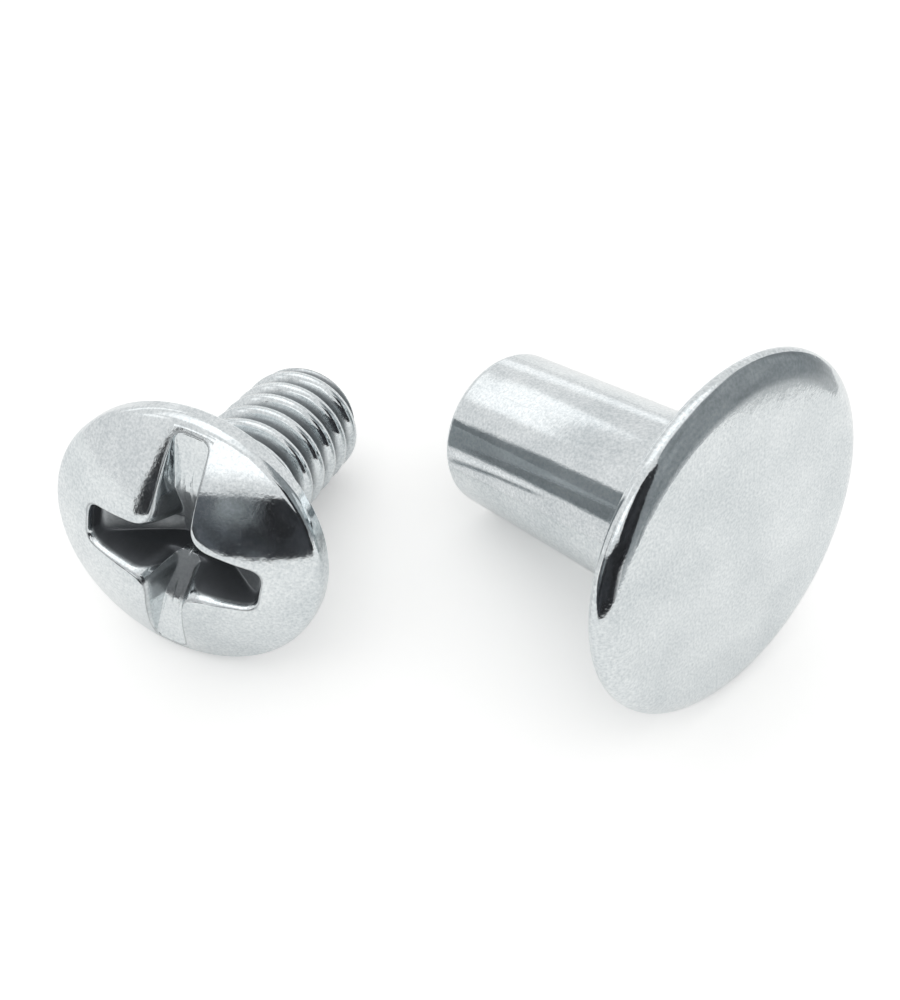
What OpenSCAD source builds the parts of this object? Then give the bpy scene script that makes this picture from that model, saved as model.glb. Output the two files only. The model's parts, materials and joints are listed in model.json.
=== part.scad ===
// Screw rivet: a smooth blind post with a flat cap, and the recessed dome screw that fits its thread.
// Both halves lie side by side on the ground, each resting on its head rim and on the far end of its shank.
// Lengths are millimetres, +X runs to the right, +Y away from the viewer, +Z up.

/* [Thread] */
// Outer diameter of the thread
thread_d = 4.83; // [4.4:0.01:5]
// Advance of the thread in one turn
pitch = 1.06; // [0.9:0.01:1.2]
// Depth of the thread, crest to root
thread_depth = 0.6; // [0.4:0.05:0.7]
// Inner diameter of the tapped bore, at the tips of its thread
bore_d = 3.8; // [3.5:0.05:4.1]

/* [Post] */
// Diameter of the flat cap
cap_d = 12.6; // [11:0.1:14]
// Thickness of the cap
cap_t = 0.7; // [0.7:0.05:1]
// Radius of the gentle shoulder around the flat face
cap_shoulder = 1.3; // [0.8:0.05:1.3]
// Tighter rounding at the rim of the cap
cap_round = 0.3; // [0.2:0.05:0.35]
// Rounding of the lower edge of the cap
cap_under_round = 0.12; // [0.1:0.01:0.15]
// Diameter of the smooth barrel
barrel_d = 6.35; // [6:0.05:7]
// Length of the barrel under the cap
barrel_l = 10.85; // [10.8:0.05:14]
// Rounding of the open end of the barrel
barrel_round = 0.3; // [0.1:0.05:0.4]
// Fillet between the barrel and the cap
barrel_fillet = 0.2; // [0.1:0.05:0.4]
// Full-width depth of the tapped bore
bore_depth = 9.6; // [9.4:0.1:9.8]
// Bevel of the mouth of the bore
mouth_bevel = 0.5; // [0.3:0.05:0.6]

/* [Screw] */
// Diameter of the domed head
head_d = 9.9; // [9.4:0.1:10.6]
// Height of the head from its flat underside to the crown
head_h = 2; // [1.9:0.05:2.2]
// Height of the straight band around the rim
head_band = 0.42; // [0.3:0.01:0.5]
// Rounding between the band and the dome
head_round = 0.42; // [0.3:0.01:0.5]
// Rounding of the lower edge of the band
head_under_round = 0.1; // [0.05:0.01:0.12]
// Length of the screw under its head
screw_l = 9.2; // [8.6:0.1:9.3]
// Bevel of the far end of the screw
end_bevel = 0.4; // [0.3:0.05:0.7]
// How far the conical neck under the head stands out past the thread
neck_flare = 0.15; // [0.1:0.05:0.25]

/* [Driving recess] */
// Width of the straight slot
slot_w = 1.24; // [1.1:0.02:1.5]
// Depth of the slot below the crown
slot_depth = 1.1; // [0.9:0.05:1.1]
// Span of the two cross wings, tip to tip
wing_span = 6.26; // [5.6:0.02:6.4]
// Width of a wing at its tip
wing_tip_w = 1.6; // [1.2:0.05:1.7]
// Width of a wing where it meets the lobes
wing_root_w = 2.2; // [1.8:0.05:2.4]
// Depth of the wings at their tips, below the crown
wing_tip_depth = 1.05; // [0.9:0.05:1.2]
// Depth of the cross at the centre, below the crown
cross_depth = 2.4; // [2.2:0.05:2.4]

/* [Placing] */
// Ground position of the post, at the centre of the cap's underside
post_at = [8.63, -3.04]; // [-20:0.01:20]
// Direction that the cap faces, from +X towards +Y
post_yaw = -50.6; // [-90:0.1:0]
// Ground position of the screw, at the centre of the head's underside
screw_at = [-8.91, -1.77]; // [-20:0.01:20]
// Direction that the dome faces, from +X towards +Y
screw_yaw = -108.1; // [-150:0.1:-70]
// Turn of the screw on its own axis, which sets the slot's direction
screw_roll = -10; // [-180:1:180]

/* [Hidden] */
$fn = 96;
overlap = 0.5;

cap_r = cap_d / 2;
barrel_r = barrel_d / 2;
// The shoulder turns this far down from the flat face before the tighter rounding takes over
shoulder_turn = 40;
shoulder_gap = cap_shoulder - cap_round;
edge_x = cap_r - cap_round;
edge_z = cap_t - cap_shoulder + shoulder_gap * cos(shoulder_turn);
face_r = edge_x - shoulder_gap * sin(shoulder_turn);
bore_r = bore_d / 2;
head_r = head_d / 2;
major_r = thread_d / 2;
root_r = major_r - thread_depth;

// Half the point angle of the drill that made the bore
drill_half_angle = 59;
drill_tip = bore_r / tan(drill_half_angle);

// The dome is a sphere that runs tangent into the rounding above the band
dome_rise = head_h - head_band;
round_x = head_r - head_round;
dome_r = (round_x * round_x + dome_rise * dome_rise - head_round * head_round)
    / (2 * (dome_rise - head_round));
dome_z = head_h - dome_r;
round_angle = atan2(head_band - dome_z, round_x);

slot_floor = head_h - slot_depth;
wing_floor = head_h - wing_tip_depth;
cross_floor = head_h - cross_depth;
// The slot's floor drops towards the cross over a ramp, wide at the floor and narrow below
ramp_r = 2.4;
ramp_low_r = 0.8;
ramp_low = 0.25;
// Flare of the wings at the lobes, half its size along the slot and along the wings
flare_along_slot = 1.8;
flare_along_wing = slot_w / 2;
flare_run = 0.8;
// The wings narrow by this share from the crown down to the cross's floor
wing_draft = 0.72;
// Slope and upper limit of the steep wall that closes each wing's tip
wing_end_slope = 0.15;
wing_end_drop = 0.5;
cross_low_r = 1;
tip_h = 0.3;

// Share of one pitch that the crest flat, each flank and the root flat take
crest_share = 0.14;
flank_share = 0.34;
// Share of a turn by which the middle of the crest starts past the head, which sets where it is cut off
lead_in = 0.2;
steps = 36;
turns = ceil((screw_l + 2 * pitch) / pitch);
thread_top = pitch * (1 - lead_in + crest_share / 2);

// A headed turned piece rests on two rounded edges: its rim and the end of its shank.
// Each edge is given as [radius of its circle, height along the axis, rounding].
function rest_tilt(rim, end) =
    let (along = rim[1] - end[1], across = rim[0] - end[0])
    atan2(across, along) + asin((rim[2] - end[2]) / norm([along, across]));
function rest_height(rim, tilt) = rim[0] * cos(tilt) - rim[1] * sin(tilt) + rim[2];

module lay(at, yaw, rim, end) {
    tilt = rest_tilt(rim, end);
    translate([at[0], at[1], rest_height(rim, tilt)])
        rotate([0, 90 - tilt, yaw])
            children();
}

// Half outline of the cap, standing on its underside at zero height
module cap_outline() {
    reach = 2 * cap_t;
    wedge = [edge_x + reach * sin(shoulder_turn), edge_z + reach * cos(shoulder_turn)];
    translate([0, cap_under_round])
        square([cap_r, edge_z - cap_under_round]);
    square([cap_r - cap_under_round, cap_under_round]);
    translate([cap_r - cap_under_round, cap_under_round])
        circle(cap_under_round);
    translate([0, cap_under_round])
        square([face_r, cap_t - cap_under_round]);
    intersection() {
        translate([face_r, cap_t - cap_shoulder])
            circle(cap_shoulder);
        polygon([[0, cap_under_round], [edge_x, edge_z], wedge, [0, wedge[1]]]);
    }
    intersection() {
        translate([edge_x, edge_z])
            circle(cap_round);
        translate([0, cap_under_round])
            square([cap_r, cap_t]);
    }
}

// Half outline of the barrel below the cap, with its fillet and its rounded end
module barrel_outline() {
    translate([0, -barrel_l + barrel_round])
        square([barrel_r, barrel_l - barrel_round + overlap]);
    translate([0, -barrel_l])
        square([barrel_r - barrel_round, barrel_round]);
    translate([barrel_r - barrel_round, -barrel_l + barrel_round])
        circle(barrel_round);
    difference() {
        translate([0, -barrel_fillet])
            square([barrel_r + barrel_fillet, barrel_fillet + overlap]);
        translate([barrel_r + barrel_fillet, -barrel_fillet])
            circle(barrel_fillet);
    }
}

// Blind tapped bore: bevelled mouth, full-width length and the drill's cone
module bore() {
    translate([0, 0, -barrel_l - overlap])
        cylinder(r = bore_r, h = bore_depth + overlap);
    translate([0, 0, -barrel_l + bore_depth])
        cylinder(r1 = bore_r, r2 = 0, h = drill_tip);
    translate([0, 0, -barrel_l - overlap])
        cylinder(r1 = bore_r + mouth_bevel + overlap, r2 = bore_r, h = mouth_bevel + overlap);
}

module post_upright() {
    difference() {
        rotate_extrude()
            intersection() {
                union() {
                    cap_outline();
                    barrel_outline();
                }
                translate([0, -barrel_l])
                    square([cap_r, barrel_l + cap_t]);
            }
        bore();
    }
}

// Half outline of the domed head: band, rounding and spherical crown
module head_outline() {
    translate([0, head_under_round])
        square([head_r, head_band - head_under_round]);
    square([head_r - head_under_round, head_under_round]);
    translate([head_r - head_under_round, head_under_round])
        circle(head_under_round);
    intersection() {
        translate([round_x, head_band])
            circle(head_round);
        square([head_r, head_h]);
    }
    intersection() {
        translate([0, dome_z])
            circle(dome_r);
        polygon([
            [0, 0],
            [round_x, 0],
            [round_x, head_band],
            [round_x + head_h * cos(round_angle), head_band + head_h * sin(round_angle)],
            [0, head_band + head_h]
        ]);
    }
}

// Points of the thread: each angular step carries the four corners of the profile
function thread_corner(m) = [
    [0, major_r],
    [crest_share, major_r],
    [crest_share + flank_share, root_r],
    [1 - flank_share, root_r]
][m];
function thread_point(j, m) =
    let (corner = thread_corner(m), angle = -360 * j / steps)
    [corner[1] * cos(angle), corner[1] * sin(angle), thread_top - pitch * (j / steps + corner[0])];

// One closed helical solid: the walls of all turns, and a fan of triangles to the axis at each end
module thread_body() {
    last = turns * steps;
    apex = 4 * (last + 1);
    function id(j, m) = 4 * j + m;
    points = [
        for (j = [0:last], m = [0:3]) thread_point(j, m),
        [0, 0, thread_top - pitch],
        [0, 0, thread_top - pitch * turns]
    ];
    walls = [
        for (j = [0:last - 1], m = [0:2])
            each [[id(j, m), id(j, m + 1), id(j + 1, m + 1)], [id(j, m), id(j + 1, m + 1), id(j + 1, m)]]
    ];
    joins = [
        for (j = [0:last - steps - 1]) let (k = j + steps)
            each [[id(j, 3), id(k, 0), id(k + 1, 0)], [id(j, 3), id(k + 1, 0), id(j + 1, 3)]]
    ];
    top_loop = concat([for (j = [0:steps]) id(j, 0)], [id(0, 3), id(0, 2), id(0, 1)]);
    low_loop = concat([for (j = [last - steps:last]) id(j, 3)], [id(last, 2), id(last, 1), id(last, 0)]);
    function fan(loop, tip, up) = [
        for (i = [0:len(loop) - 1]) let (a = loop[i], b = loop[(i + 1) % len(loop)])
            up ? [tip, a, b] : [tip, b, a]
    ];
    polyhedron(points, concat(walls, joins, fan(top_loop, apex, true), fan(low_loop, apex + 1, false)));
}

// Threaded shank: a conical neck under the head, and a square, bevelled far end
module shank() {
    clear_r = major_r + overlap;
    neck_r = major_r + neck_flare;
    neck_core_r = root_r / 2;
    translate([0, 0, neck_core_r - neck_r])
        cylinder(r1 = neck_core_r, r2 = neck_r, h = neck_r - neck_core_r);
    intersection() {
        thread_body();
        rotate_extrude()
            polygon([
                [0, -screw_l],
                [major_r - end_bevel, -screw_l],
                [clear_r, -screw_l + end_bevel + overlap],
                [clear_r, slot_floor / 2],
                [0, slot_floor / 2]
            ]);
    }
}

// Plan of the wings at the crown's height, narrowing to the tips and flared at the lobes
module wing_plan() {
    tip = wing_span / 2 + overlap;
    polygon([
        for (side = [-1, 1])
            each [
                [side * flare_along_slot, -side * flare_along_wing],
                [side * flare_along_slot, side * flare_along_wing],
                [side * wing_root_w / 2, side * (flare_along_wing + flare_run)],
                [side * wing_tip_w / 2, side * tip],
                [-side * wing_tip_w / 2, side * tip],
                [-side * wing_root_w / 2, side * (flare_along_wing + flare_run)]
            ]
    ]);
}

// Cross recess: drafted wings inside a stepped bowl that ends in a small cone
module cross_recess() {
    intersection() {
        translate([0, 0, cross_floor - tip_h])
            mirror([0, 0, 1])
                translate([0, 0, -cross_depth - 2 * tip_h])
                    linear_extrude(height = cross_depth + 2 * tip_h, scale = wing_draft)
                        wing_plan();
        rotate_extrude()
            polygon([
                [0, cross_floor - tip_h],
                [cross_low_r, cross_floor],
                [wing_span / 2 - wing_end_slope, wing_floor],
                [wing_span / 2, head_h - wing_end_drop],
                [wing_span / 2, head_h + overlap],
                [0, head_h + overlap]
            ]);
    }
}

// Straight slot, and the ramps over which its floor drops into the cross
module slot_recess() {
    translate([-head_r, -slot_w / 2, slot_floor])
        cube([head_d, slot_w, slot_depth + overlap]);
    intersection() {
        translate([-ramp_r - overlap, -slot_w / 2, 0])
            cube([2 * (ramp_r + overlap), slot_w, slot_floor + overlap]);
        translate([0, 0, ramp_low])
            cylinder(r1 = ramp_low_r, r2 = ramp_r, h = slot_floor - ramp_low);
    }
}

module screw_upright() {
    difference() {
        union() {
            rotate_extrude()
                head_outline();
            shank();
        }
        cross_recess();
        slot_recess();
    }
}

// Post: capped barrel, smooth outside and tapped inside
module post() {
    color([0.84, 0.87, 0.88])
        lay(
            post_at,
            post_yaw,
            [cap_r - cap_under_round, cap_under_round, cap_under_round],
            [barrel_r - barrel_round, -barrel_l + barrel_round, barrel_round]
        )
            post_upright();
}

// Screw: domed head with the driving recess, and the threaded shank
module screw() {
    color([0.80, 0.83, 0.85])
        lay(
            screw_at,
            screw_yaw,
            [head_r - head_under_round, head_under_round, head_under_round],
            [major_r, -screw_l + end_bevel, 0]
        )
            rotate([0, 0, screw_roll])
                screw_upright();
}

post();
screw();
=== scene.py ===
"""Screw rivet lying unscrewed: a capped post and its domed, slotted cross-recess screw.

Each half is one closed surface worked out with numpy in the half's own frame, in millimetres, with the
head's underside at zero height and the head facing +Z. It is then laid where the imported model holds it.
"""
import json
import logging
import math
from dataclasses import dataclass, field
from enum import Enum
from typing import Any, Callable, Sequence

import bpy
import numpy as np
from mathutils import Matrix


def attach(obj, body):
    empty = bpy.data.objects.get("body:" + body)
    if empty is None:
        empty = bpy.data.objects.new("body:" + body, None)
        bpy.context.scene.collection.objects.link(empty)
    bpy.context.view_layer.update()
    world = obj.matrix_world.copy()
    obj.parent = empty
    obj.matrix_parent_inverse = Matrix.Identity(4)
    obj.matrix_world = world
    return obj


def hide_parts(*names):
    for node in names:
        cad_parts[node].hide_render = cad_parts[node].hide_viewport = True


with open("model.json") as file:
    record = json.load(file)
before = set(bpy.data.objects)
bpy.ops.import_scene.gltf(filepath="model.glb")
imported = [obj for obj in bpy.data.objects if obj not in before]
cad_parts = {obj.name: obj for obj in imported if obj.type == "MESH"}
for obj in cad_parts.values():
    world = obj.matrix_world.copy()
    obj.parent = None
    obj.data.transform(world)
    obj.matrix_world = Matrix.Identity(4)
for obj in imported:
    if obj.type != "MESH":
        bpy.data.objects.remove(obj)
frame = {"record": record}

LOG = logging.getLogger("screw_rivet")
MM = 0.001

# Where the photograph was taken from, over the surface that the halves lie on
CAMERA_AT = (-0.255, -21.204, 28.86)
CAMERA_DOWN_DEG = 49.1
# Focal length as a share of the picture's height
FOCAL_SHARE = 0.910


def linear(hex_colour: str) -> tuple[float, float, float, float]:
    """Turn an sRGB hex colour to linear light.

    Args:
        hex_colour: Six hex digits, such as "D8DCDD".

    Returns:
        Red, green, blue and an alpha of one.
    """
    parts = [int(hex_colour[i:i + 2], 16) / 255 for i in (0, 2, 4)]
    lit = [c / 12.92 if c <= 0.04045 else ((c + 0.055) / 1.055) ** 2.4 for c in parts]
    return (lit[0], lit[1], lit[2], 1.0)


def smooth_min(a: np.ndarray, b: np.ndarray, width: float | np.ndarray) -> np.ndarray:
    """Take the lower of two heights, with the crease between them rounded over a width.

    The formula is the polynomial blend: the lower one, less a quarter of width times the square of
    how far inside the width the two are.
    """
    near = np.clip(width - np.abs(a - b), 0, None) / width
    return np.minimum(a, b) - near * near * width / 4


def smooth_max(a: np.ndarray, b: np.ndarray, width: float) -> np.ndarray:
    """Take the higher of two heights, with the crease between them rounded over a width."""
    return -smooth_min(-a, -b, width)


def ease(t: np.ndarray) -> np.ndarray:
    """Run from nought to one with a level start and end: three t squared less two t cubed."""
    t = np.clip(t, 0, 1)
    return t * t * (3 - 2 * t)


@dataclass
class Rest:
    """Where a half lies: the centre of its head's underside and the direction that its head faces."""

    centre: np.ndarray
    facing: np.ndarray
    roll_deg: float = 0.0

    def matrix(self) -> np.ndarray:
        """Give the half's own X, Y and Z as columns, with the roll about its axis applied.

        Local X is the steepest way down the head's face, and local Y runs level across it.
        """
        yaw = math.atan2(self.facing[1], self.facing[0])
        level = np.array([-math.sin(yaw), math.cos(yaw), 0.0])
        down = np.cross(level, self.facing)
        c, s = math.cos(math.radians(self.roll_deg)), math.sin(math.radians(self.roll_deg))
        return np.stack([down * c + level * s, level * c - down * s, self.facing], axis=1)

    def place(self, points_mm: np.ndarray) -> np.ndarray:
        """Turn points of the half's own frame, in millimetres, to the shared frame, in metres."""
        return points_mm @ self.matrix().T * MM + self.centre


def mount(name: str) -> dict[str, Any]:
    """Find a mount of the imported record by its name."""
    return next(m for m in frame["record"]["mounts"] if m["name"] == name)


def rest_from(axis_mount: str, seat_mount: str, roll_deg: float = 0.0) -> Rest:
    """Work out how a half lies from its round mount and the flat underside of its head.

    Args:
        axis_mount: The mount whose axis is the half's own, pointing away from the head.
        seat_mount: A mount on the underside, which fixes the height along the axis.
        roll_deg: Turn about the half's axis.

    Returns:
        The half's resting place.
    """
    shank = mount(axis_mount)
    facing = -np.array(shank["axis"], float)
    facing /= np.linalg.norm(facing)
    start = np.array(shank["pos_m"], float)
    along = (np.array(mount(seat_mount)["pos_m"], float) - start) @ facing
    return Rest(start + facing * along, facing, roll_deg)


class Shell:
    """One closed surface put together from rings of points, each ring joined to the next."""

    def __init__(self) -> None:
        """Start with no points and no faces."""
        self.points: list[np.ndarray] = []
        self.faces: list[np.ndarray] = []
        self.marks: list[np.ndarray] = []
        self.count = 0

    def add(self, points: np.ndarray, mark: np.ndarray | float = 0.0) -> np.ndarray:
        """Add points of shape (..., 3) with a painted value each, and return their numbers in that shape."""
        shape = points.shape[:-1]
        n = int(np.prod(shape))
        self.points.append(points.reshape(n, 3))
        self.marks.append(np.broadcast_to(np.asarray(mark, float), shape).reshape(n))
        ids = np.arange(self.count, self.count + n).reshape(shape)
        self.count += n
        return ids

    def join(self, ids: np.ndarray, climb: int = 0) -> None:
        """Close the quads between neighbouring rings of a (rings, columns) grid that wraps round.

        Args:
            ids: Numbers of the points.
            climb: Rings by which the wall has moved on after a full turn, as a thread's has. Past the
                ends it stays on the end ring, where the points of such a wall share their places.
        """
        rows = np.clip(np.arange(len(ids)) + climb, 0, len(ids) - 1)
        after = np.roll(ids, -1, axis=1)
        after[:, -1] = ids[rows, 0]
        self.faces.append(np.stack([ids[:-1], ids[1:], after[1:], after[:-1]], axis=-1).reshape(-1, 4))

    def cap(self, ring: np.ndarray, point: np.ndarray, mark: float, first: bool) -> None:
        """Close a ring with triangles to one point. The first ring of a surface needs the other turn."""
        tip = int(self.add(point.reshape(1, 3), mark)[0])
        nxt = np.roll(ring, -1)
        tips = np.full_like(ring, tip)
        order = [tips, ring, nxt, nxt] if first else [tips, nxt, ring, ring]
        self.faces.append(np.stack(order, axis=-1))

    def narrow(self, fine: np.ndarray, coarse: np.ndarray) -> None:
        """Join a ring to the next one, which has a whole number of times fewer points."""
        ratio = len(fine) // len(coarse)
        nxt = np.roll(coarse, -1)
        halfway = ratio // 2
        for k in range(ratio):
            start = fine[k::ratio]
            end = np.roll(fine, -1)[k::ratio]
            held = coarse if k < halfway else nxt
            self.faces.append(np.stack([start, held, end, end], axis=-1))
        middle = fine[halfway::ratio]
        self.faces.append(np.stack([middle, coarse, nxt, nxt], axis=-1))

    def mesh(self, name: str, rest: Rest, mark_name: str) -> bpy.types.Object:
        """Weld the points that share a place, drop what collapses, and make the object.

        Args:
            name: Name of the object and its mesh.
            rest: Where the piece lies.
            mark_name: Name of the attribute that holds the painted values.

        Returns:
            The object, at the origin, with its place in its mesh.
        """
        points = np.concatenate(self.points)
        marks = np.concatenate(self.marks)
        faces = np.concatenate(self.faces)
        _, first, where = np.unique(np.round(points, 6), axis=0, return_index=True, return_inverse=True)
        where = where.reshape(-1)
        points, marks = points[first], marks[first]
        faces = where[faces]
        ring = np.roll(faces, -1, axis=1)
        corners = (faces != ring).sum(axis=1)
        faces, ring, corners = faces[corners > 2], ring[corners > 2], corners[corners > 2]
        crossed = (faces[:, 0] == faces[:, 2]) | (faces[:, 1] == faces[:, 3])
        faces, ring, corners = faces[~crossed], ring[~crossed], corners[~crossed]
        loops = faces[faces != ring]
        data = bpy.data.meshes.new(name)
        data.vertices.add(len(points))
        data.vertices.foreach_set("co", rest.place(points).astype(np.float32).ravel())
        data.loops.add(len(loops))
        data.loops.foreach_set("vertex_index", loops.astype(np.int32))
        data.polygons.add(len(corners))
        starts = np.concatenate([[0], np.cumsum(corners)[:-1]])
        data.polygons.foreach_set("loop_start", starts.astype(np.int32))
        data.update(calc_edges=True)
        data.validate()
        data.shade_smooth()
        paint = data.attributes.new(mark_name, "FLOAT", "POINT")
        paint.data.foreach_set("value", marks.astype(np.float32))
        piece = bpy.data.objects.new(name, data)
        bpy.context.scene.collection.objects.link(piece)
        return piece


def ring_points(radius: np.ndarray, height: np.ndarray, angle: np.ndarray) -> np.ndarray:
    """Turn cylindrical arrays to points: radius times cosine and sine of the angle, and the height."""
    radius, height, angle = np.broadcast_arrays(radius, height, angle)
    return np.stack([radius * np.cos(angle), radius * np.sin(angle), height], axis=-1)


def arc(centre: tuple[float, float], radius: float, start_deg: float, end_deg: float, steps: int) -> np.ndarray:
    """Points of a round stretch of a profile, as rows of radius and height.

    The angle is measured from straight outwards towards up, and runs evenly from start to end.
    """
    a = np.radians(np.linspace(start_deg, end_deg, steps))
    return np.stack([centre[0] + radius * np.cos(a), centre[1] + radius * np.sin(a)], axis=1)


def line(start: tuple[float, float], end: tuple[float, float], steps: int) -> np.ndarray:
    """Evenly spaced points of a straight stretch of a profile, as rows of radius and height."""
    return np.linspace(start, end, steps)


def thread_wave(turns: np.ndarray, flat_share: float) -> np.ndarray:
    """Height of a rounded thread, from nought in the root to one on the crest.

    It is a triangle wave of the number of turns, steepened so that crest and root each keep about the
    given share of the pitch, and eased at both ends so that they are rounded.
    """
    triangle = np.abs(2 * (turns - np.floor(turns)) - 1)
    return ease((triangle - flat_share) / (1 - 2 * flat_share))


@dataclass
class Thread:
    """A right-handed thread on or in a round wall."""

    root_r: float
    crest_r: float
    pitch: float
    top: float
    end: float
    lead_in: float = 0.0
    rows_per_turn: int = 14
    flat_share: float = 0.13

    def grid(self, columns: int, limit: Callable[[np.ndarray, np.ndarray], np.ndarray]
             ) -> tuple[np.ndarray, np.ndarray]:
        """Work out the wall on a grid whose rings climb with the thread.

        Each ring drops one pitch in a full turn, so crests and roots lie along rings. Heights past the
        two ends are held at the ends, where their points fall together and are welded.

        Args:
            columns: Points in one turn.
            limit: Takes radius and height, and returns the radius after bevels and run-outs.

        Returns:
            Points of shape (rings, columns, 3), from the top down, and how near the root each one is,
            from nought to one.
        """
        turns = (self.top - self.end) / self.pitch
        rings = int(math.ceil((turns + 1) * self.rows_per_turn)) + 1
        ring = np.arange(rings)[:, None] / self.rows_per_turn
        column = np.arange(columns)[None, :] / columns
        height = self.top + self.pitch * (1 - ring - column)
        held = np.clip(height, self.end, self.top)
        wave = thread_wave((self.top - held) / self.pitch - column - self.lead_in, self.flat_share)
        thread_r = self.root_r + (self.crest_r - self.root_r) * wave
        radius = limit(thread_r, held)
        cut = np.clip((self.crest_r - np.maximum(thread_r, radius)) / (self.crest_r - self.root_r), 0, 1)
        return ring_points(radius, held, -2 * math.pi * column), cut


class Tone(Enum):
    """How a stage card looks in the plating's reflections: its darker and its lighter colour."""

    BLACK = ("17171B", "3A3C41")
    DARK = ("2B2D32", "666A70")
    GREY = ("898E91", "A4A9AC")
    SMOKE = ("A4A9AC", "C8CDD0")


@dataclass(frozen=True)
class NickelPlating:
    """Bright nickel plating on turned steel: a cool mirror, slightly milky, with a fine grain.

    The plating follows the turned surface below it, so it waves a little at the scale of tenths of a
    millimetre, and handling leaves hairline scratches and pin specks.
    """

    name: str
    light: str = "F1F5F6"
    shade: str = "C6CDD0"
    # Colour of the painted shade, which the plating is darkened towards
    recess: str = "66696D"
    roughness: float = 0.07
    grain_mm: float = 0.1
    peel_mm: float = 0.3
    wave_mm: float = 0.9
    scratch_mm: float = 0.35
    speck_mm: float = 1.6
    grain_depth_mm: float = 0.0014
    peel_depth_mm: float = 0.0022
    wave_depth_mm: float = 0.008

    def build(self, rest: Rest, mark_name: str) -> bpy.types.Material:
        """Make the material, with its patterns laid along the half's own axis.

        Args:
            rest: Where the half lies, which the patterns are turned with.
            mark_name: The painted value that gives each point's painted shade, in the recess, along its edge, in the
                thread's roots and in the bore.

        Returns:
            The material.
        """
        material = bpy.data.materials.new(self.name)
        material.use_nodes = True
        tree = material.node_tree
        tree.nodes.clear()
        out = node(tree, "ShaderNodeOutputMaterial", {})
        shader = node(tree, "ShaderNodeBsdfPrincipled", {"Metallic": 1.0})
        join(tree, shader, "BSDF", out, "Surface")
        where = node(tree, "ShaderNodeTexCoord", {})
        turn = rest.matrix().T
        angles = matrix_angles(turn)
        place = node(tree, "ShaderNodeMapping", {
            "Location": tuple(-(turn @ rest.centre) / MM), "Rotation": angles, "Scale": (1 / MM,) * 3})
        join(tree, where, "Object", place, "Vector")

        grain = node(tree, "ShaderNodeTexNoise", {"Scale": 1 / self.grain_mm, "Detail": 3.0, "Roughness": 0.6})
        join(tree, place, "Vector", grain, "Vector")
        wave = node(tree, "ShaderNodeTexNoise", {"Scale": 1 / self.wave_mm, "Detail": 2.0, "Roughness": 0.45})
        join(tree, place, "Vector", wave, "Vector")
        peel = node(tree, "ShaderNodeTexNoise", {"Scale": 1 / self.peel_mm, "Detail": 2.0, "Roughness": 0.5})
        join(tree, place, "Vector", peel, "Vector")
        cloud = node(tree, "ShaderNodeTexNoise", {"Scale": 0.45, "Detail": 4.0, "Roughness": 0.55})
        join(tree, place, "Vector", cloud, "Vector")

        speckle = node(tree, "ShaderNodeMapRange", {"From Min": 0.3, "From Max": 0.7, "To Min": -0.4, "To Max": 0.4})
        join(tree, grain, "Fac", speckle, "Value")
        cover = node(tree, "ShaderNodeMath", {}, operation="ADD", use_clamp=True)
        join(tree, cloud, "Fac", cover, 0)
        join(tree, speckle, "Result", cover, 1)
        tint = node(tree, "ShaderNodeMix", {"A": linear(self.shade), "B": linear(self.light)}, data_type="RGBA")
        join(tree, cover, "Value", tint, "Factor")
        # Painted shade: the painted value darkens the plating's colour towards the recess colour. The roughness rise
        # below is the plating's own
        shade_mark = node(tree, "ShaderNodeAttribute", {}, attribute_name=mark_name)
        shade_tint = node(tree, "ShaderNodeMix", {"B": linear(self.recess)}, data_type="RGBA")
        join(tree, shade_mark, "Fac", shade_tint, "Factor")
        join(tree, tint, "Result", shade_tint, "A")
        join(tree, shade_tint, "Result", shader, "Base Color")

        stretch = node(tree, "ShaderNodeMapping", {"Scale": (1 / self.scratch_mm, 1 / self.scratch_mm, 0.12)})
        join(tree, place, "Vector", stretch, "Vector")
        hair = node(tree, "ShaderNodeTexNoise", {"Scale": 3.0, "Detail": 2.0, "Roughness": 0.5})
        join(tree, stretch, "Vector", hair, "Vector")
        hair_ramp = node(tree, "ShaderNodeMapRange", {"From Min": 0.62, "From Max": 0.72, "To Min": 0.0, "To Max": 1.0})
        join(tree, hair, "Fac", hair_ramp, "Value")

        gloss = node(tree, "ShaderNodeMapRange", {
            "From Min": 0.3, "From Max": 0.7, "To Min": self.roughness * 0.75, "To Max": self.roughness * 1.35})
        join(tree, cloud, "Fac", gloss, "Value")
        rough_hair = node(tree, "ShaderNodeMath", {1: 0.10}, operation="MULTIPLY_ADD")
        join(tree, hair_ramp, "Result", rough_hair, 0)
        join(tree, gloss, "Result", rough_hair, 2)
        rough_deep = node(tree, "ShaderNodeMath", {1: 0.45}, operation="MULTIPLY_ADD")
        join(tree, shade_mark, "Fac", rough_deep, 0)
        join(tree, rough_hair, "Value", rough_deep, 2)
        pins = node(tree, "ShaderNodeTexVoronoi", {"Scale": 1 / self.speck_mm})
        join(tree, place, "Vector", pins, "Vector")
        speck = node(tree, "ShaderNodeMapRange", {"From Min": 0.03, "From Max": 0.05, "To Min": 0.2, "To Max": 0.0})
        join(tree, pins, "Distance", speck, "Value")
        rough_speck = node(tree, "ShaderNodeMath", {}, operation="ADD")
        join(tree, rough_deep, "Value", rough_speck, 0)
        join(tree, speck, "Result", rough_speck, 1)
        join(tree, rough_speck, "Value", shader, "Roughness")

        low = node(tree, "ShaderNodeBump", {"Strength": 1.0, "Distance": self.wave_depth_mm * MM})
        join(tree, wave, "Fac", low, "Height")
        orange = node(tree, "ShaderNodeBump", {"Strength": 1.0, "Distance": self.peel_depth_mm * MM})
        join(tree, peel, "Fac", orange, "Height")
        join(tree, low, "Normal", orange, "Normal")
        fine = node(tree, "ShaderNodeBump", {"Strength": 1.0, "Distance": self.grain_depth_mm * MM})
        join(tree, grain, "Fac", fine, "Height")
        join(tree, orange, "Normal", fine, "Normal")
        join(tree, fine, "Normal", shader, "Normal")
        return material


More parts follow.
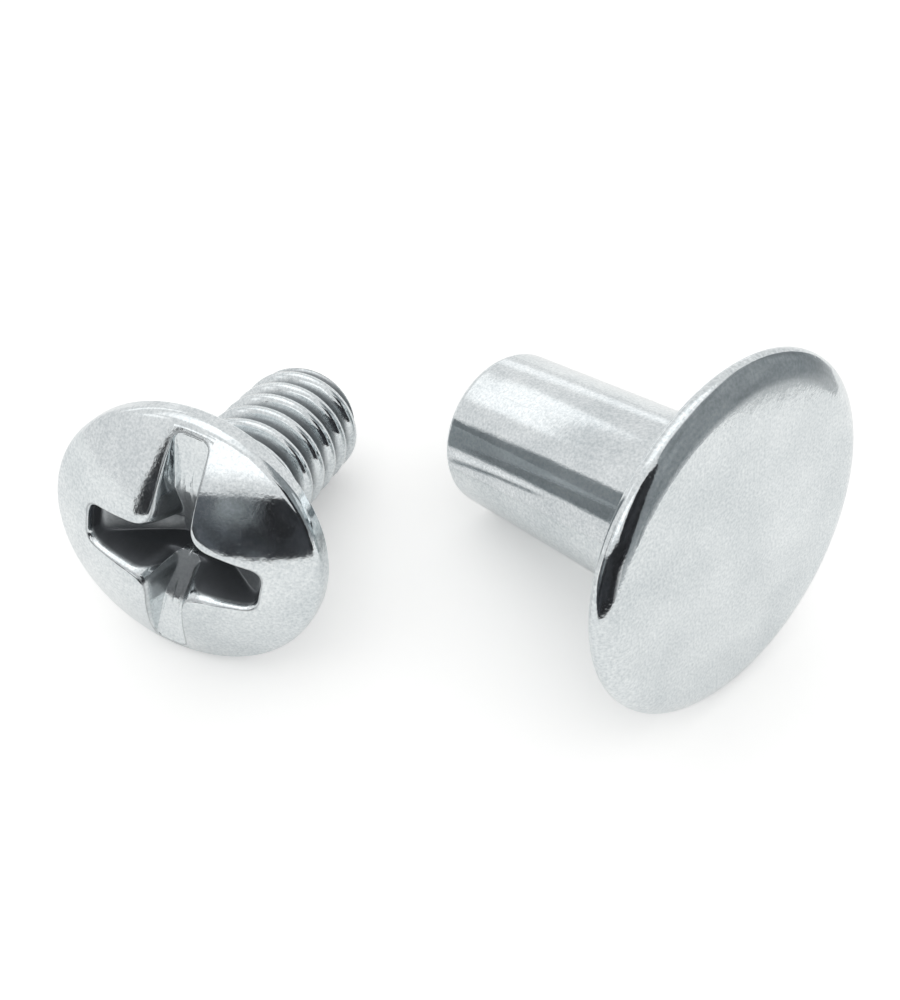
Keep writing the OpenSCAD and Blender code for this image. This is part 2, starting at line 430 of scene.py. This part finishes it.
def matrix_angles(turn: np.ndarray) -> tuple[float, float, float]:
    """Give the X, Y and Z Euler angles, in radians, of a turn given as a 3 by 3 array."""
    from mathutils import Matrix

    return tuple(Matrix(turn.tolist()).to_euler("XYZ"))


def node(tree: bpy.types.NodeTree, kind: str, values: dict[Any, Any], **settings: Any) -> bpy.types.Node:
    """Add a node with its settings and the values of its unlinked sockets.

    Args:
        tree: The node tree.
        kind: The node's type name.
        values: Socket name or number to value. Of sockets that share a name, the one in use is set.
        **settings: The node's own properties, such as its operation.

    Returns:
        The node.
    """
    made = tree.nodes.new(kind)
    for key, value in settings.items():
        setattr(made, key, value)
    for key, value in values.items():
        socket(made.inputs, key).default_value = value
    return made


def socket(sockets: Any, key: Any) -> bpy.types.NodeSocket:
    """Find an enabled socket by its name or number."""
    if isinstance(key, int):
        return sockets[key]
    return next(s for s in sockets if s.name == key and s.enabled)


def join(tree: bpy.types.NodeTree, a: bpy.types.Node, out: Any, b: bpy.types.Node, into: Any) -> None:
    """Link an output of one node to an input of another, both given by name or number."""
    tree.links.new(socket(a.outputs, out), socket(b.inputs, into))


@dataclass
class Post:
    """The smooth half: a flat cap with a rounded edge on a blind barrel that is tapped inside."""

    cap_r: float = 6.3
    cap_t: float = 0.7
    cap_shoulder: float = 1.3
    cap_round: float = 0.3
    shoulder_turn_deg: float = 40.0
    cap_under_round: float = 0.12
    barrel_l: float = 10.85
    barrel_round: float = 0.3
    fillet: float = 0.2
    bore_depth: float = 9.6
    mouth_bevel: float = 0.5
    thread_depth: float = 0.5
    pitch: float = 1.06
    drill_half_angle_deg: float = 59.0
    columns: int = 256
    finish: NickelPlating = field(default_factory=lambda: NickelPlating("nickel_plated_steel_post"))

    def __post_init__(self) -> None:
        """Take the barrel's and the bore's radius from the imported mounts, and the resting place."""
        self.barrel_r = mount("post_barrel")["dims"]["r_mm"]
        self.bore_r = mount("post_bore")["dims"]["r_mm"]
        self.rest = rest_from("post_barrel", "cap_seat")

    def outside(self) -> np.ndarray:
        """Profile from the middle of the cap's face round its edge and along the barrel to the mouth."""
        turn = math.radians(self.shoulder_turn_deg)
        gap = self.cap_shoulder - self.cap_round
        edge = (self.cap_r - self.cap_round, self.cap_t - self.cap_shoulder + gap * math.cos(turn))
        face_r = edge[0] - gap * math.sin(turn)
        meet = 90 - self.shoulder_turn_deg
        under = self.cap_under_round
        end = -self.barrel_l
        mouth_r = self.bore_r + self.mouth_bevel
        return np.concatenate([
            line((0.04, self.cap_t), (face_r * 0.97, self.cap_t), 16),
            arc((face_r, self.cap_t - self.cap_shoulder), self.cap_shoulder, 90, meet, 18),
            arc(edge, self.cap_round, meet, 0, 14)[1:],
            arc((self.cap_r - under, under), under, 0, -90, 8),
            line((self.cap_r - under - 0.05, 0), (self.barrel_r + self.fillet + 0.03, 0), 8),
            arc((self.barrel_r + self.fillet, -self.fillet), self.fillet, 90, 180, 8),
            line((self.barrel_r, -self.fillet - 0.03), (self.barrel_r, end + self.barrel_round + 0.03), 24),
            arc((self.barrel_r - self.barrel_round, end + self.barrel_round), self.barrel_round, 0, -90, 10),
            line((self.barrel_r - self.barrel_round - 0.03, end), (mouth_r + 0.02, end), 4),
            line((mouth_r, end + 0.01), (self.bore_r + 0.02, end + self.mouth_bevel - 0.02), 6),
        ])

    def bore_limit(self, radius: np.ndarray, height: np.ndarray) -> np.ndarray:
        """Fade the internal thread out at the bore's closed end and into the bevel of its mouth."""
        end = -self.barrel_l
        closed = ease((end + self.bore_depth - height) / (0.7 * self.pitch))
        mouth = ease((height - end - self.mouth_bevel) / (0.35 * self.pitch))
        return self.bore_r + (radius - self.bore_r) * closed * mouth

    def build(self) -> bpy.types.Object:
        """Make the post's surface, dress it and seat it on its body."""
        shell = Shell()
        angle = -2 * math.pi * np.arange(self.columns)[None, :] / self.columns
        profile = self.outside()
        ids = shell.add(ring_points(profile[:, :1], profile[:, 1:], angle))
        shell.join(ids)
        shell.cap(ids[0], np.array([0.0, 0.0, self.cap_t]), 0.0, True)
        closed_end = -self.barrel_l + self.bore_depth
        mouth = -self.barrel_l + self.mouth_bevel
        thread = Thread(self.bore_r, self.bore_r + self.thread_depth, self.pitch, closed_end, mouth)
        # Painted shade in the tapped bore at 0.35, and more, 0.5, in its drilled end
        wall = shell.add(thread.grid(self.columns, self.bore_limit)[0][::-1], 0.35)
        shell.join(np.concatenate([ids[-1:], wall[:1]]))
        shell.join(wall, -thread.rows_per_turn)
        tip_h = self.bore_r / math.tan(math.radians(self.drill_half_angle_deg))
        cone = line((self.bore_r, closed_end), (0.06, closed_end + tip_h * (1 - 0.06 / self.bore_r)), 8)[1:]
        cone_ids = shell.add(ring_points(cone[:, :1], cone[:, 1:], angle), 0.5)
        shell.join(np.concatenate([wall[-1:], cone_ids]))
        shell.cap(cone_ids[-1], np.array([0.0, 0.0, closed_end + tip_h]), 0.5, False)
        piece = shell.mesh("capped_post", self.rest, "shelter")
        piece.data.materials.append(self.finish.build(self.rest, "shelter"))
        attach(piece, "root")
        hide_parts("post")
        return piece


@dataclass
class Screw:
    """The driven half: a domed head with a slot joined to a cross recess, on a coarse thread."""

    head_r: float = 4.95
    head_h: float = 2.0
    band: float = 0.42
    edge_round: float = 0.42
    under_round: float = 0.1
    slot_w: float = 1.24
    slot_depth: float = 1.1
    wing_span: float = 6.26
    wing_tip_w: float = 1.6
    wing_root_w: float = 2.2
    wing_tip_depth: float = 1.05
    cross_depth: float = 2.4
    ramp_r: float = 2.4
    ramp_low_r: float = 0.8
    ramp_low: float = 0.25
    lobe_round: float = 0.75
    edge_soft: float = 0.9
    # Strength of the painted shade on the wings, on the slot's ramps and in the thin painted shadow line just outside
    # the recess's outline
    wing_shade: float = 0.6
    ramp_shade: float = 0.65
    edge_shade_line: float = 0.5
    foot_soft: float = 0.10
    wall_rise: float = 4.6
    end_bevel: float = 0.4
    neck_flare: float = 0.15
    thread_depth: float = 0.6
    pitch: float = 1.06
    lead_in: float = 0.2
    # Strength of the painted shade in the thread's roots
    root_shade: float = 0.88
    roll_deg: float = -10.0
    head_columns: int = 480
    shank_columns: int = 160
    finish: NickelPlating = field(default_factory=lambda: NickelPlating("nickel_plated_steel_screw"))

    def __post_init__(self) -> None:
        """Take the thread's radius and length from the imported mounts, and fit the dome's sphere."""
        dims = mount("screw_thread")["dims"]
        self.major_r, self.length = dims["r_mm"], dims["length_mm"]
        self.rest = rest_from("screw_thread", "head_seat", self.roll_deg)
        self.round_x = self.head_r - self.edge_round
        rise = self.head_h - self.band
        self.dome_r = (self.round_x ** 2 + rise ** 2 - self.edge_round ** 2) / (2 * (rise - self.edge_round))
        self.dome_z = self.head_h - self.dome_r

    def dome(self, rho: np.ndarray) -> np.ndarray:
        """Height of the bare dome: the sphere, and past its tangent point the rounding above the band."""
        sphere = self.dome_z + np.sqrt(np.clip(self.dome_r ** 2 - rho ** 2, 0, None))
        out = np.clip(rho - self.round_x, 0, self.edge_round)
        corner = self.band + np.sqrt(self.edge_round ** 2 - out ** 2)
        tangent = self.round_x * self.dome_r / (self.dome_r - self.edge_round)
        return np.where(rho < tangent, sphere, corner)

    def slot_gap(self, x: np.ndarray, y: np.ndarray) -> np.ndarray:
        """Distance outside the slot's plan, negative inside: a long bar of the slot's width."""
        return np.abs(y) - self.slot_w / 2 + 0 * x

    def wing_gap(self, x: np.ndarray, y: np.ndarray) -> np.ndarray:
        """Distance outside the wings' plan, negative inside.

        The plan is a bar along Y whose half width shrinks evenly from the root to the tip, closed at
        the tips by lines across it with rounded corners.
        """
        tip = self.wing_span / 2
        share = np.clip(np.abs(y) / tip, 0, 1.2)
        half = self.wing_root_w / 2 + (self.wing_tip_w - self.wing_root_w) / 2 * share
        return smooth_max(np.abs(x) - half, np.abs(y) - tip, 0.5)

    def outline_gap(self, x: np.ndarray, y: np.ndarray) -> np.ndarray:
        """Distance outside the whole recess, with the lobes' corners rounded and the slot's ends closed."""
        end_r = self.slot_end_r()
        slot = smooth_max(self.slot_gap(x, y), np.hypot(x, y) - end_r, 0.35)
        return smooth_min(slot, self.wing_gap(x, y), self.lobe_round)

    def slot_end_r(self) -> float:
        """Distance from the axis at which the dome comes down to the slot's floor."""
        floor = self.head_h - self.slot_depth
        return math.sqrt(self.dome_r ** 2 - (floor - self.dome_z) ** 2)

    def surface(self, x: np.ndarray, y: np.ndarray) -> tuple[np.ndarray, np.ndarray]:
        """Height of the head's upper surface, and how much painted shade each point gets.

        Each cut is the higher of its floor and of a steep wall that rises with the distance outside its
        plan, and the surface is the lowest of the dome and the cuts, with every crease rounded. The
        ramps get nearly full painted shade, the wings and the pit between them about half, more at the
        foot of the wing walls, and a thin painted shadow line runs just outside the recess's outline.
        """
        rho = np.hypot(x, y)
        dome = self.dome(rho)
        level = self.head_h - self.slot_depth
        wall = dome + self.wall_rise * self.outline_gap(x, y)
        ramp = self.ramp_low + (rho - self.ramp_low_r) * (
            (level - self.ramp_low) / (self.ramp_r - self.ramp_low_r))
        slot_floor = smooth_min(ramp, np.full_like(rho, level), 0.05)
        slot_wall = dome + self.wall_rise * self.slot_gap(x, y)
        slot_cut = smooth_max(slot_wall, slot_floor, self.foot_soft)
        tip = self.wing_span / 2 - 0.15
        low = self.head_h - self.cross_depth
        bowl = low + (self.head_h - self.wing_tip_depth - low) * np.clip((rho - 0.9) / (tip - 0.9), -0.08, 1.5)
        wing_wall = dome + self.wall_rise * self.wing_gap(x, y)
        wing_cut = smooth_max(bowl, wing_wall, self.foot_soft)
        floor = smooth_min(slot_floor, wing_cut, 0.05)
        soft = np.clip(0.6 * (dome - floor), 0.03, self.edge_soft)
        top = smooth_min(dome, smooth_max(wall, floor, self.foot_soft), soft)
        # Painted shade on the slot's ramps, on the wings and in the pit between them
        ramp_share = ease((level - slot_floor) / 0.05) * ease((dome - top) / 0.4)
        wing_share = self.wing_shade * ease((np.minimum(dome, slot_cut) - wing_cut) / 0.3) * ease((dome - top) / 0.3)
        foot_share = ease((wing_wall - bowl + 0.3) / 0.3)
        wing_share = wing_share * (1 + 0.6 * foot_share)
        shelter = np.where(slot_cut < wing_cut, self.ramp_shade * ramp_share, wing_share)
        tall = ease((dome - level - 0.1) / 0.3)
        # A thin painted shadow line just outside the recess's outline
        edge_line = self.edge_shade_line * np.exp(-((self.outline_gap(x, y) - 0.02 - 0.05 * tall) / 0.028) ** 2)
        return top, np.maximum(shelter, edge_line)

    def radius_at(self, gap: np.ndarray, cos: np.ndarray, sin: np.ndarray) -> np.ndarray:
        """Radius at which each direction crosses each distance outside the outline, by halving.

        Args:
            gap: Distances, as a column.
            cos: Cosines of the directions, as a row.
            sin: Sines of the directions, as a row.

        Returns:
            Radii, one row for each distance.
        """
        low = np.zeros((gap.shape[0], cos.shape[1]))
        high = np.full_like(low, self.head_r)
        for _ in range(40):
            mid = (low + high) / 2
            outside = self.outline_gap(mid * cos, mid * sin) > gap
            high = np.where(outside, mid, high)
            low = np.where(outside, low, mid)
        return (low + high) / 2

    def directions(self) -> np.ndarray:
        """Angles of the head's columns, spaced evenly along the recess's outline."""
        fine = np.linspace(0, 2 * np.pi, 7201)
        r = self.radius_at(np.zeros((1, 1)), np.cos(fine)[None], np.sin(fine)[None])[0]
        x, y = r * np.cos(fine), r * np.sin(fine)
        steps = np.hypot(np.diff(x), np.diff(y)) + 0.004
        run = np.concatenate([[0], np.cumsum(steps)])
        wanted = np.arange(self.head_columns) / self.head_columns * run[-1]
        return -np.interp(wanted, run, fine)

    def head(self, shell: Shell) -> np.ndarray:
        """Add the head from the recess's middle out to the shank, and return its last ring."""
        angle = self.directions()[None, :]
        cos, sin = np.cos(angle), np.sin(angle)
        gaps = np.concatenate([
            np.linspace(-0.45, -0.12, 12), np.linspace(-0.11, 0.12, 20)])[:, None]
        walls = self.radius_at(gaps, cos, sin)
        inner = np.linspace(0.03, 0.975, 46)[:, None] * walls[:1]
        start = walls[-1:]
        outer = start + (self.round_x - 0.02 - start) * np.linspace(0, 1, 22)[1:, None]
        rho = np.concatenate([inner, walls, outer])
        top, shelter = self.surface(rho * cos, rho * sin)
        ids = shell.add(np.stack([rho * cos, rho * sin, top], axis=-1), shelter)
        shell.join(ids)
        middle = float(self.surface(np.zeros(1), np.zeros(1))[0][0])
        # The middle of the recess gets full painted shade
        shell.cap(ids[0], np.array([0.0, 0.0, middle]), 1.0, True)
        tangent_deg = math.degrees(math.atan2(self.band - self.dome_z, self.round_x))
        edge = np.concatenate([
            arc((self.round_x, self.band), self.edge_round, tangent_deg, 0, 12),
            line((self.head_r, self.band - 0.04), (self.head_r, self.under_round + 0.02), 4),
            arc((self.head_r - self.under_round, self.under_round), self.under_round, 0, -90, 6),
            line((self.head_r - self.under_round - 0.1, 0), (self.major_r + 0.5, 0), 3),
        ])
        edge_ids = shell.add(ring_points(edge[:, :1], edge[:, 1:], angle))
        shell.join(np.concatenate([ids[-1:], edge_ids]))
        return edge_ids[-1]

    def shank_limit(self, radius: np.ndarray, height: np.ndarray) -> np.ndarray:
        """Run the thread out into the conical neck under the head, and cut it back at the bevelled end."""
        neck = self.major_r + self.neck_flare + height
        bevel = self.major_r - self.end_bevel + (height + self.length)
        return smooth_min(smooth_max(radius, neck, 0.08), bevel, 0.1)

    def build(self) -> bpy.types.Object:
        """Make the screw's surface, dress it and seat it on its body."""
        shell = Shell()
        last = self.head(shell)
        thread = Thread(self.major_r - self.thread_depth, self.major_r, self.pitch, 0.0, -self.length, self.lead_in)
        points, cut = thread.grid(self.shank_columns, self.shank_limit)
        # Painted shade in the thread's roots, growing with how near the root each point is
        wall = shell.add(points, self.root_shade * ease((cut - 0.25) / 0.5))
        shell.narrow(last, wall[0])
        shell.join(wall, thread.rows_per_turn)
        end = shell.add(points[-1:] * np.array([[0.97], [0.9]])[..., None] * [1, 1, 0] - [0, 0, self.length])
        shell.join(np.concatenate([wall[-1:], end]))
        shell.cap(end[-1], np.array([0.0, 0.0, -self.length]), 0.0, False)
        piece = shell.mesh("recessed_screw", self.rest, "shelter")
        piece.data.materials.append(self.finish.build(self.rest, "shelter"))
        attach(piece, "root")
        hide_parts("screw")
        return piece


@dataclass
class Studio:
    """A pale floor in plain soft light, with a few cards out of view that the plating reflects."""

    floor_r: float = 600.0
    floor_colour: str = "F7F7F6"
    world_level: float = 0.86
    ceiling_level: float = 1.15
    lift: float = 0.22
    mirror_lift: float = 0.08
    mottle_mm: float = 9.0

    def floor(self) -> None:
        """Lay a round pale floor under the halves, lifted to white only for the camera."""
        angle = 2 * math.pi * np.arange(96) / 96
        rim = ring_points(np.full(96, self.floor_r), np.full(96, -0.002), angle) * MM
        data = bpy.data.meshes.new("floor")
        data.from_pydata(rim.tolist(), [], [list(range(96))])
        floor = bpy.data.objects.new("floor", data)
        bpy.context.scene.collection.objects.link(floor)
        material = bpy.data.materials.new("matt_white_paper")
        material.use_nodes = True
        tree = material.node_tree
        shader = tree.nodes["Principled BSDF"]
        socket(shader.inputs, "Base Color").default_value = linear(self.floor_colour)
        socket(shader.inputs, "Roughness").default_value = 0.85
        socket(shader.inputs, "Emission Color").default_value = (1, 1, 1, 1)
        path = node(tree, "ShaderNodeLightPath", {})
        mirrored = node(tree, "ShaderNodeMath", {1: self.mirror_lift}, operation="MULTIPLY")
        join(tree, path, "Is Glossy Ray", mirrored, 0)
        seen = node(tree, "ShaderNodeMath", {1: self.lift}, operation="MULTIPLY_ADD")
        join(tree, path, "Is Camera Ray", seen, 0)
        join(tree, mirrored, "Value", seen, 2)
        join(tree, seen, "Value", shader, "Emission Strength")
        data.materials.append(material)

    def world(self) -> None:
        """Light everything evenly from all round, and show plain white behind the floor."""
        world = bpy.data.worlds.new("soft_room")
        bpy.context.scene.world = world
        world.use_nodes = True
        tree = world.node_tree
        back = tree.nodes["Background"]
        path = node(tree, "ShaderNodeLightPath", {})
        where = node(tree, "ShaderNodeTexCoord", {})
        height = node(tree, "ShaderNodeSeparateXYZ", {})
        join(tree, where, "Object", height, "Vector")
        ceiling = node(tree, "ShaderNodeMapRange", {
            "From Min": 0.84, "From Max": 0.93, "To Min": self.world_level, "To Max": self.ceiling_level})
        join(tree, height, "Z", ceiling, "Value")
        level = node(tree, "ShaderNodeMapRange", {"To Max": 1.0})
        join(tree, path, "Is Camera Ray", level, "Value")
        join(tree, ceiling, "Result", level, "To Min")
        join(tree, level, "Result", back, "Strength")
        socket(back.inputs, "Color").default_value = (1, 1, 1, 1)

    def card(self, name: str, start: Sequence[float], end: Sequence[float], look: Tone | float,
             fade: tuple[float, float], one_sided: bool = False) -> None:
        """Stand a soft-edged card out of the camera's sight, which only the plating's reflections show.

        Args:
            name: The card's name.
            start: Ground position of one end, and the heights of its lower and upper corner there, in
                millimetres.
            end: The same for the other end.
            look: The tone of a felt card, or the brightness of a glowing one, where one is as bright as
                white paper.
            fade: Share of the width and of the height over which each edge fades out, above nought.
            one_sided: Whether it shows only on the side to the right of the way from start to end.
        """
        corners = [(*start[:2], start[2]), (*end[:2], end[2]), (*end[:2], end[3]), (*start[:2], start[3])]
        data = bpy.data.meshes.new(name)
        data.from_pydata((np.array(corners, float) * MM).tolist(), [], [[0, 1, 2, 3]])
        data.uv_layers.new(name="card").data.foreach_set("uv", [0.0, 0.0, 1.0, 0.0, 1.0, 1.0, 0.0, 1.0])
        card = bpy.data.objects.new(name, data)
        bpy.context.scene.collection.objects.link(card)
        glows = isinstance(look, float)
        material = bpy.data.materials.new(name + ("_diffuser" if glows else "_felt"))
        material.use_nodes = True
        tree = material.node_tree
        shader = tree.nodes["Principled BSDF"]
        socket(shader.inputs, "Roughness").default_value = 0.9
        where = node(tree, "ShaderNodeTexCoord", {})
        if glows:
            socket(shader.inputs, "Base Color").default_value = (0, 0, 0, 1)
            socket(shader.inputs, "Emission Color").default_value = (1, 1, 1, 1)
            socket(shader.inputs, "Emission Strength").default_value = look
        else:
            cloud = node(tree, "ShaderNodeTexNoise", {"Scale": 1 / (self.mottle_mm * MM), "Detail": 3.0})
            join(tree, where, "Object", cloud, "Vector")
            spread = node(tree, "ShaderNodeMapRange", {"From Min": 0.35, "From Max": 0.7})
            join(tree, cloud, "Fac", spread, "Value")
            dark, light = (linear(shade) for shade in look.value)
            shade = node(tree, "ShaderNodeMix", {"A": dark, "B": light}, data_type="RGBA")
            join(tree, spread, "Result", shade, "Factor")
            join(tree, shade, "Result", shader, "Base Color")
        sides = node(tree, "ShaderNodeSeparateXYZ", {})
        join(tree, where, "UV", sides, "Vector")
        solid = node(tree, "ShaderNodeMath", {}, operation="MULTIPLY")
        for number, (axis, share) in enumerate(zip("XY", fade)):
            centred = node(tree, "ShaderNodeMath", {1: 2.0, 2: -1.0}, operation="MULTIPLY_ADD")
            join(tree, sides, axis, centred, 0)
            out = node(tree, "ShaderNodeMath", {}, operation="ABSOLUTE")
            join(tree, centred, "Value", out, 0)
            ramp = node(tree, "ShaderNodeMapRange", {
                "From Min": 1 - 2 * share, "From Max": 1.0, "To Min": 1.0, "To Max": 0.0},
                interpolation_type="SMOOTHSTEP")
            join(tree, out, "Value", ramp, "Value")
            join(tree, ramp, "Result", solid, number)
        if one_sided:
            facing = node(tree, "ShaderNodeNewGeometry", {})
            front = node(tree, "ShaderNodeMath", {0: 1.0}, operation="SUBTRACT")
            join(tree, facing, "Backfacing", front, 1)
            shown = node(tree, "ShaderNodeMath", {}, operation="MULTIPLY")
            join(tree, front, "Value", shown, 0)
            join(tree, solid, "Value", shown, 1)
            solid = shown
        join(tree, solid, "Value", shader, "Alpha")
        data.materials.append(material)
        card.visible_camera = False
        card.visible_diffuse = False
        card.visible_shadow = False

    def lamp(self, name: str, at: Sequence[float], size: Sequence[float], level: float) -> None:
        """Hang a soft box that looks at the halves.

        Args:
            name: The lamp's name.
            at: Its place in millimetres.
            size: Its width and height in millimetres.
            level: Its brightness, where one is as bright as white paper.
        """
        from mathutils import Vector

        data = bpy.data.lights.new(name, "AREA")
        data.shape = "RECTANGLE"
        data.size, data.size_y = size[0] * MM, size[1] * MM
        data.energy = level * math.pi * data.size * data.size_y
        lamp = bpy.data.objects.new(name, data)
        lamp.location = Vector(at) * MM
        lamp.rotation_euler = (-lamp.location).to_track_quat("-Z", "Y").to_euler()
        bpy.context.scene.collection.objects.link(lamp)

    def camera(self) -> None:
        """Stand the camera where the photograph was taken from, level and looking down over the halves."""
        data = bpy.data.cameras.new("camera")
        data.sensor_width = 36
        data.lens = FOCAL_SHARE * data.sensor_width
        data.clip_start = 0.001
        data.clip_end = 10
        camera = bpy.data.objects.new("camera", data)
        camera.location = tuple(c * MM for c in CAMERA_AT)
        camera.rotation_euler = (math.radians(90 - CAMERA_DOWN_DEG), 0, 0)
        bpy.context.scene.collection.objects.link(camera)
        bpy.context.scene.camera = camera

    def build(self) -> None:
        """Set up the floor, the light, the cards and the camera."""
        bpy.context.scene.view_settings.view_transform = "Standard"
        self.floor()
        self.world()
        self.camera()
        self.card("front_card", (-40, -31, -9, 17), (2, -31, -9, 17), Tone.DARK, (0.02, 0.08))
        self.card("left_front_card", (-55.5, -31, -9, 0), (-40, -31, -9, 52), Tone.BLACK, (0.08, 0.12))
        self.card("camera_card", (-14, -30.6, -9, 17), (26, -30.6, -9, 17), Tone.BLACK, (0.22, 0.08))
        self.card("camera_top_card", (10, -30.8, 6, 36), (27, -30.8, 6, 36), Tone.BLACK, (0.05, 0.05))
        self.card("window_card", (-24, -30, 6, 19), (-7, -30, 6, 19), Tone.GREY, (0.45, 0.45))
        self.card("right_front_card", (25, -32, -9, 64), (35, -23, -9, 64), Tone.GREY, (0.01, 0.25))
        self.card("right_card", (33, -25, -9, 64), (41, 22, -9, 64), Tone.GREY, (0.01, 0.25))
        side = -3.2
        near = side + 0.05
        self.card("side_card", (side, -4.5, 5.2, 14.4), (side, 4.6, 2.2, 5.1), Tone.SMOKE, (0.02, 0.12), True)
        self.card("side_card_top", (near, -4.5, 9.2, 14.4), (near, 4.6, 4.3, 5.1), Tone.GREY, (0.02, 0.2), True)
        self.card("side_card_foot", (near, -4.5, 5.6, 9.4), (near, 3.0, 3.1, 3.8), Tone.GREY, (0.2, 0.25), True)
        self.card("side_card_line", (near, -1.4, 2.8, 3.7), (near, 3.6, 0.5, 1.6), Tone.SMOKE, (0.2, 0.5), True)
        self.card("side_glow", (near, -1.4, 3.5, 4.2), (near, 3.6, 1.5, 2.5), 0.95, (0.2, 0.4), True)
        self.card("side_screen", (side - 0.2, -8, -1, 9), (side - 0.2, 8, -1, 3), 0.8, (0.02, 0.02), True)
        self.card("front_box", (-76, -97, 42, 118), (8, -97, 42, 118), 1.35, (0.15, 0.25))
        self.card("left_box", (-83, 4, 52, 92), (-73, -39, 52, 92), 1.15, (0.35, 0.4))
        self.card("back_box", (-115, 60, 48, 84), (-20, 100, 48, 84), 1.2, (0.15, 0.35))
        self.card("rear_box", (-45, 100, 14, 38), (45, 100, 14, 38), 1.15, (0.2, 0.4))
        self.lamp("overhead_box", (-30, 20, 140), (120, 120), 0.25)


def main() -> None:
    """Build the studio and both halves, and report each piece."""
    logging.basicConfig(level=logging.INFO, format="%(name)s: %(message)s")
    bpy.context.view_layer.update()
    Studio().build()
    for half in (Post(), Screw()):
        piece = half.build()
        LOG.info("%s: %d faces", piece.name, len(piece.data.polygons))


if __name__ == "__main__":
    main()
